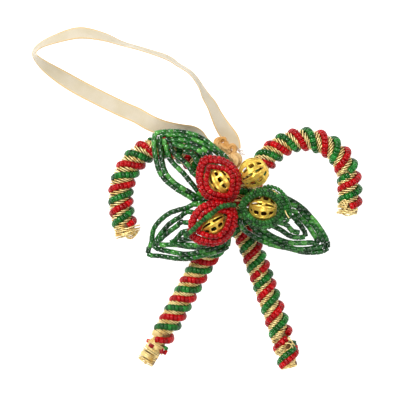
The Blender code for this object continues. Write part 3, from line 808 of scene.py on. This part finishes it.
def organzaMaterial(name, looks):
    # sheer woven organza: fine crossed threads with gaps between them, denser woven edges and
    # faint shades about 9 mm across; weft and warp are the threads' distances in mm, really
    # about 0.2, drawn coarser so that they show
    material, tree, shader, where = startMaterial(name, {
        "Roughness": 0.55, "Sheen Weight": 0.3, "Sheen Roughness": 0.4,
    })
    cloth = addNode(tree, "ShaderNodeUVMap", {"uv_map": "cloth"})
    parts = addNode(tree, "ShaderNodeSeparateXYZ", {}, {0: cloth.outputs["UV"]})
    threads = []
    for axis, spacing in (("X", looks["weft"]), ("Y", looks["warp"])):
        scaled = addNode(tree, "ShaderNodeMath",
                         {"operation": "MULTIPLY", 1: 2 * math.pi / spacing},
                         {0: parts.outputs[axis]})
        waves = addNode(tree, "ShaderNodeMath", {"operation": "SINE"}, {0: scaled.outputs[0]})
        threads.append(waves)
    crossed = addNode(tree, "ShaderNodeMath", {"operation": "MAXIMUM"},
                      {0: threads[0].outputs[0], 1: threads[1].outputs[0]})
    away = addNode(tree, "ShaderNodeMath", {"operation": "ABSOLUTE"}, {0: parts.outputs["Y"]})
    dense = addNode(tree, "ShaderNodeMapRange", {
        "From Min": looks["edgeFrom"], "From Max": looks["edgeTo"], "To Min": 0.0, "To Max": 1.0,
    }, {"Value": away.outputs[0]})
    cover = addNode(tree, "ShaderNodeMapRange", {
        "From Min": -1.0, "From Max": 1.0, "To Min": looks["gap"], "To Max": looks["thread"],
    }, {"Value": crossed.outputs[0]})
    alpha = addNode(tree, "ShaderNodeMath", {"operation": "ADD", "use_clamp": True},
                    {0: cover.outputs["Result"], 1: dense.outputs["Result"]})
    cloud = addNode(tree, "ShaderNodeTexNoise", {"Scale": 1 / (9 * mm), "Detail": 3},
                    {"Vector": where})
    ramp = addNode(tree, "ShaderNodeValToRGB", {
        "shades": [(0.35, looks["shade"]), (0.65, looks["light"])],
    }, {"Fac": cloud.outputs["Fac"]})
    color = addNode(tree, "ShaderNodeMix", {"data_type": "RGBA", 7: linear(looks["edge"])},
                    {0: dense.outputs["Result"], 6: ramp.outputs["Color"]})
    bump = addNode(tree, "ShaderNodeBump", {"Strength": 0.3, "Distance": 0.05 * mm},
                   {"Height": crossed.outputs[0]})
    connect(tree, shader, {"Base Color": color.outputs[2], "Alpha": alpha.outputs[0],
                           "Normal": bump.outputs["Normal"]})
    return material


organza = organzaMaterial("creamOrganza", {
    "light": "#D4C8B0", "shade": "#CCBE9E", "edge": "#D6B884", "weft": 0.45, "warp": 0.5,
    "edgeFrom": 2.7, "edgeTo": 3.1, "gap": 0.8, "thread": 0.94,
})
bunched = organzaMaterial("bunchedOrganza", {
    "light": "#F0D096", "shade": "#D09648", "edge": "#E4B468", "weft": 0.45, "warp": 0.5,
    "edgeFrom": 30, "edgeTo": 40, "gap": 0.85, "thread": 1.0,
})


def clothPiece(name, points, faces, uv):  # uv: mm along and across the cloth at each point
    mesh = bpy.data.meshes.new(name)
    mesh.from_pydata(points.tolist(), [], faces)
    layer = mesh.uv_layers.new(name="cloth")
    corners = np.zeros(len(mesh.loops), dtype=np.int32)
    mesh.loops.foreach_get("vertex_index", corners)
    layer.data.foreach_set("uv", uv.reshape(-1, 2)[corners].ravel())
    piece = bpy.data.objects.new(name, mesh)
    collection.objects.link(piece)
    return piece


def ribbonMesh(name, grid, uv, thickness):  # grid: rows of points; thickness differs across
    rows, size = grid.shape[:2]
    ahead = np.gradient(grid, axis=0)
    aside = np.gradient(grid, axis=1)
    normal = unit(np.cross(ahead, aside))
    half = normal * (np.array(thickness) / 2)[None, :, None]
    points = np.concatenate([(grid + half).reshape(-1, 3), (grid - half).reshape(-1, 3)])
    below = rows * size
    faces = []
    for r in range(rows - 1):
        for c in range(size - 1):
            a, b = r * size + c, (r + 1) * size + c
            faces.append((a, b, b + 1, a + 1))
            faces.append((below + a, below + a + 1, below + b + 1, below + b))
    rim = [r * size for r in range(rows)] + [(rows - 1) * size + c for c in range(1, size)]
    rim += [r * size + size - 1 for r in range(rows - 2, -1, -1)]
    rim += list(range(size - 2, 0, -1))
    for a, b in zip(rim, rim[1:] + rim[:1]):
        faces.append((a, below + a, below + b, b))
    piece = clothPiece(name, points, faces, np.concatenate([uv, uv]))
    choose([piece])
    bpy.ops.object.mode_set(mode="EDIT")
    bpy.ops.mesh.select_all(action="SELECT")
    bpy.ops.mesh.normals_make_consistent(inside=False)
    bpy.ops.object.mode_set(mode="OBJECT")
    return piece


route = [(x * mm, y * mm, lift * mm, tilt) for x, y, tilt, lift in ribbonRoute]
line, stations = smoothLine(route, ribbon["step"] * mm)
ahead = np.gradient(line[:, :2], axis=0)
ahead = unit(np.hstack([ahead, np.zeros((len(line), 1))]))
inward = np.stack([ahead[:, 1], -ahead[:, 0], np.zeros(len(line))], axis=1)
lean = np.radians(line[:, 3])[:, None]
across = inward * np.cos(lean) + np.array([0, 0, 1]) * np.sin(lean)
rise = np.sin(lean) * ribbon["width"] / 2 + np.cos(lean) * ribbon["clear"]
middle = line[:, :3].copy()
middle[:, 2] = np.maximum(ribbon["clear"] * mm, line[:, 2]) + rise[:, 0] * mm
share = np.sin(np.linspace(-1, 1, ribbon["across"] + 1) * np.pi / 2)
grid = middle[:, None, :] + across[:, None, :] * (share * ribbon["width"] / 2 * mm)[None, :, None]
cloth = np.stack(np.broadcast_arrays(stations[:, None] / mm,
                                     share[None, :] * ribbon["width"] / 2), axis=2)
thick = (ribbon["thin"] + (ribbon["edge"] - ribbon["thin"]) * np.abs(share) ** 8) * mm
loop = ribbonMesh("hangingRibbon", grid, cloth, thick)
finish(loop, organza, "hanging_ribbon", angle=60)
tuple(middle[0])
print("ribbon laid, %.0f mm long" % (stations[-1] / mm))


# Knot
knotWork = {
    "around": 48,  # points round a bunch
    # over its even folds: how deep a crease is, how many go round, how they twist, their start
    "creases": [(0.06, 11, -7, 1), (0.07, 3, 12, 0)],
    "thread": 0.13,  # radius of a frayed thread
}
# bunches of gathered ribbon: how many folds, how deep they are as a share of the width, and
# points along the bunch, each x, y, z and half the width in mm
knotBunches = [
    # the neck, which runs in under the flower
    (9, 0.15, [
        (-2.5, 29.5, 10.5, 1.0), (-2.0, 34.0, 9.6, 1.6), (-0.9, 37.6, 8.8, 2.2),
        (-0.3, 40.2, 8.4, 2.9), (-1.2, 42.4, 8.2, 2.3), (-1.9, 44.2, 8.0, 1.2)]),
    # the loop on the left, its rolled edge and the strip that hangs from it
    (5, 0.14, [
        (-5.8, 44.6, 7.4, 0.7), (-6.9, 46.0, 7.6, 1.3), (-7.8, 47.8, 7.8, 1.8),
        (-7.3, 49.3, 7.8, 1.5), (-6.2, 50.1, 8.0, 0.8)]),
    (3, 0.12, [
        (-6.9, 48.2, 9.2, 0.5), (-6.6, 49.6, 9.6, 0.6), (-5.6, 50.2, 9.8, 0.65),
        (-4.6, 49.5, 9.8, 0.65), (-4.9, 48.4, 9.8, 0.5)]),
    (3, 0.12, [
        (-6.4, 48.6, 8.2, 0.6), (-5.7, 49.2, 8.6, 0.9), (-4.9, 49.0, 8.6, 0.6)]),
    (3, 0.12, [
        (-6.9, 47.6, 8.8, 0.4), (-6.8, 45.4, 9.0, 0.5), (-6.5, 43.0, 9.0, 0.4)]),
    # the folds that cross the front
    (4, 0.16, [
        (-6.6, 47.6, 8.4, 0.8), (-5.2, 46.4, 8.6, 1.6), (-3.7, 44.8, 8.6, 1.6),
        (-2.4, 43.0, 8.6, 1.2)]),
    (3, 0.16, [
        (-7.0, 48.1, 9.5, 0.4), (-6.1, 46.9, 10.0, 0.7), (-4.7, 45.7, 10.2, 0.8),
        (-3.2, 44.7, 10.2, 0.7)]),
    (4, 0.16, [
        (-4.6, 49.0, 9.2, 0.7), (-4.2, 47.5, 9.6, 1.1), (-3.4, 45.9, 9.8, 1.0),
        (-2.6, 44.5, 9.8, 0.7)]),
    # the loop on the right and the tail under it
    (5, 0.16, [
        (-3.0, 44.8, 9.0, 0.7), (-2.4, 46.3, 9.4, 1.1), (-1.2, 46.6, 9.6, 1.1),
        (-0.4, 45.4, 9.6, 1.1), (-0.6, 43.4, 9.6, 0.9)]),
    (6, 0.16, [
        (-2.0, 43.6, 9.0, 1.1), (0.0, 42.5, 9.2, 1.4), (1.4, 41.2, 9.0, 1.1),
        (2.4, 40.2, 8.8, 0.6)]),
]
frayedThreads = [
    [(1.2, 45.4, 7.6), (2.4, 44.6, 7.4), (3.8, 44.6, 7.2)],
    [(1.0, 44.8, 7.8), (2.6, 43.6, 7.4), (4.2, 42.6, 7.2)],
    [(0.8, 45.8, 7.6), (2.2, 44.0, 7.8), (3.6, 42.8, 7.6), (4.4, 43.0, 7.4)],
    [(1.2, 44.2, 7.4), (2.8, 44.4, 7.0), (4.0, 43.4, 6.8)],
    [(0.9, 45.0, 7.2), (2.0, 43.4, 7.2), (3.4, 42.4, 7.0)],
]


def gather(folds, deep, points):  # a closed, pleated tube along the points
    around = knotWork["around"]
    line, stations = smoothLine(inMetres(points), 0.3 * mm)
    ahead = unit(np.gradient(line[:, :3], axis=0))
    side = unit(np.cross([0, 0, 1], ahead))
    up = np.cross(ahead, side)
    corner = np.linspace(0, 2 * np.pi, around, endpoint=False)
    along = np.linspace(0, 1, len(line))[:, None]
    fold = 1 + deep * np.sin(folds * corner[None, :] + 3 * along)
    for depth, many, twist, start in knotWork["creases"]:
        fold += depth * np.sin(many * corner[None, :] + twist * along + start)
    reach = line[:, 3][:, None] * fold * np.minimum(1, np.sqrt(np.minimum(along, 1 - along) * 14))
    rings = (line[:, None, :3] + side[:, None, :] * (np.cos(corner) * reach)[:, :, None]
             + up[:, None, :] * (np.sin(corner) * reach)[:, :, None])
    points = rings.reshape(-1, 3)
    faces = [tuple(range(around))[::-1], tuple(range(len(points) - around, len(points)))]
    for a in range(0, len(points) - around, around):
        for c in range(around):
            n = (c + 1) % around
            faces.append((a + c, a + n, a + around + n, a + around + c))
    uv = np.stack(np.broadcast_arrays(stations[:, None] / mm, corner[None, :] * 3), axis=2)
    return clothPiece("ribbonKnot", points, faces, uv)


knot = joined([gather(*bunch) for bunch in knotBunches])
finish(knot, bunched, "ribbon_knot", angle=80)
threads = [smoothLine(inMetres(thread), 0.5 * mm)[0] for thread in frayedThreads]
finish(wire("frayedThreads", threads, knotWork["thread"] * mm, sides=4), frayedSilk,
       angle=80)
print("knot gathered")


# Binding wire and loose ends
wireRadius = {"binding": 0.4, "loose": 0.3, "stiff": 0.55}
# the wire's ends at the canes' tips and ends
looseWires = [
    [(-53.6, 8.6, 5.0), (-50.0, 8.0, 8.4), (-46.0, 9.2, 8.6), (-43.4, 9.6, 6.0)],
    [(-54.2, 7.2, 4.6), (-50.6, 7.0, 7.8), (-46.6, 7.8, 8.0), (-43.2, 8.8, 5.6)],
    [(-49.8, 6.4, 5.6), (-48.3, 5.0, 6.2), (-46.3, 5.4, 6.4), (-45.1, 7.2, 6.0)],
    [(-50.4, 6.9, 6.4), (-48.6, 5.6, 7.0), (-46.8, 6.0, 7.0), (-44.4, 8.0, 5.6)],
    [(47.2, 21.2, 8.0), (49.2, 22.4, 9.6), (50.2, 20.6, 9.8), (49.2, 17.8, 9.0),
     (47.4, 16.4, 7.0)],
    [(46.6, 17.0, 5.6), (48.8, 16.0, 8.0), (52.0, 16.8, 8.4), (55.0, 17.8, 5.8)],
    [(-39.6, -41.0, 6.6), (-37.2, -41.8, 9.0), (-34.4, -43.2, 9.4), (-32.0, -44.8, 7.0)],
    [(-39.2, -42.2, 6.0), (-36.8, -43.0, 8.8), (-33.8, -44.6, 8.8), (-32.2, -46.0, 6.6)],
    [(21.6, -40.6, 8.0), (23.6, -39.8, 9.6), (25.4, -41.6, 9.0), (24.6, -44.4, 8.6),
     (22.6, -45.4, 8.6)],
    [(22.4, -42.2, 9.6), (24.6, -42.4, 10.0), (26.0, -44.8, 8.4)],
    [(22.2, -39.6, 9.4), (24.8, -40.8, 9.8), (26.6, -43.4, 7.6)],
    [(-52.8, 10.0, 8.0), (-49.4, 9.4, 10.0), (-46.0, 10.4, 9.8), (-43.2, 11.0, 6.4)],
    [(-53.9, 8.0, 6.6), (-50.0, 7.2, 9.2), (-46.4, 8.4, 9.4), (-43.0, 9.8, 6.8)],
    [(-53.4, 6.4, 5.0), (-50.8, 6.2, 7.0), (-48.2, 6.8, 8.0), (-45.2, 8.2, 8.4)],
    [(-49.2, 7.0, 7.4), (-47.6, 4.9, 7.0), (-45.4, 6.0, 6.8), (-43.8, 8.2, 6.2)],
    [(46.8, 20.0, 7.6), (48.2, 21.6, 9.2), (49.4, 19.8, 9.8), (48.4, 17.0, 8.8),
     (47.0, 16.0, 6.6)],
    [(47.4, 17.6, 7.0), (50.0, 16.4, 9.2), (52.6, 17.0, 9.0), (55.0, 18.6, 6.4)],
    [(47.6, 16.4, 6.0), (50.2, 15.2, 7.8), (52.6, 15.8, 8.0), (54.8, 17.0, 6.4)],
    [(-40.6, 44.8, 9.8), (-39.8, 47.0, 9.0), (-39.6, 48.6, 7.0)],
    [(-39.6, 45.2, 9.8), (-38.8, 47.4, 9.2), (-38.6, 49.0, 7.0)],
    [(-38.6, 45.4, 9.8), (-37.8, 47.6, 9.2), (-37.6, 49.2, 7.0)],
    [(-39.8, -43.8, 6.2), (-37.4, -43.6, 8.8), (-34.6, -45.8, 8.8), (-33.2, -47.4, 6.4)],
    # bits that show round the green bud
    [(15.9, 26.6, 27.6), (17.4, 25.9, 28.2), (19.0, 24.5, 28.4)],
    [(16.4, 26.0, 27.8), (17.6, 25.2, 28.4), (18.8, 24.2, 28.4)],
    [(21.9, 17.6, 28.6), (22.6, 15.9, 28.6), (23.7, 14.3, 28.0)],
]
# at the end of the right cane
stiffEnds = [
    [(-40.2, -46.8, 6.0), (-41.2, -48.4, 6.4), (-42.2, -49.6, 6.0)],
    [(-39.2, -48.4, 7.8), (-40.0, -50.0, 7.6), (-40.8, -51.4, 7.0)],
    [(-36.6, -48.8, 6.6), (-37.4, -50.4, 6.6), (-38.2, -51.6, 6.2)],
]
binding = [
    (-13.4, 21.6, 4.5), (-12.6, 21.8, 10.0), (-9.4, 22.0, 13.4), (-6.6, 22.0, 15.8),
    (-4.4, 22.0, 19.8), (-0.6, 22.0, 22.3), (2.6, 22.0, 22.6),
]
line = smoothLine(inMetres(binding), 0.5 * mm)[0]
finish(wire("bindingWire", [line], wireRadius["binding"] * mm, sides=8), goldWire,
       "binding_wire")
for name, wires, radius in (("looseWires", looseWires, wireRadius["loose"]),
                            ("stiffEnds", stiffEnds, wireRadius["stiff"])):
    lines = [smoothLine(inMetres(points), 0.4 * mm)[0] for points in wires]
    finish(wire(name, lines, radius * mm, sides=8), goldWire, angle=80)
print("wire tied")


# Floor and light
paper = {
    "size": 8,  # in metres
    "below": 0.2,  # how far under what lies on it, in mm, and the size of its tooth
    "tooth": 4,
    "dark": "#B4B4B3", "light": "#BCBCBB", "glow": 0.95,
}


def paperFloor():
    # white paper sweep lit from below as on a light table, so that no shadow shows on it
    material, tree, shader, where = startMaterial("paleBackdrop", {
        "Roughness": 0.9, "Emission Color": linear("#FFFFFF"), "Emission Strength": paper["glow"],
    })
    tooth = addNode(tree, "ShaderNodeTexNoise", {"Scale": 1 / (paper["tooth"] * mm), "Detail": 2},
                    {"Vector": where})
    ramp = addNode(tree, "ShaderNodeValToRGB", {
        "shades": [(0, paper["dark"]), (1, paper["light"])],
    }, {"Fac": tooth.outputs["Fac"]})
    connect(tree, shader, {"Base Color": ramp.outputs["Color"]})
    return material


deselectAll()
bpy.ops.mesh.primitive_plane_add(size=paper["size"], location=(0, 0, -paper["below"] * mm))
floor = bpy.context.object
floor.name = "paleFloor"
floor.data.materials.append(paperFloor())

lights = [
    # where it stands and its size, in metres, and its power; each looks at the ornament
    ((-0.62, 0.62, 1.0), 0.42, 16),
    ((0.85, 0.05, 0.9), 0.6, 5),
    ((-0.1, -0.7, 1.3), 0.5, 6),
]
for where, size, power in lights:
    bpy.ops.object.light_add(type="AREA", location=where)
    lamp = bpy.context.object
    lamp.data.size = size
    lamp.data.energy = power
    aim = Vector((0, 0.01, 0.01)) - Vector(where)
    lamp.rotation_euler = aim.to_track_quat("-Z", "Y").to_euler()
world = bpy.data.worlds.new("softStudio")
world.use_nodes = True
world.node_tree.nodes["Background"].inputs["Color"].default_value = linear("#F2F4F8")
world.node_tree.nodes["Background"].inputs["Strength"].default_value = 0.22
bpy.context.scene.world = world
bpy.context.scene.view_settings.view_transform = "Standard"

for model in (seed, *budModels.values(), tube, ballModel):
    bpy.data.objects.remove(model)
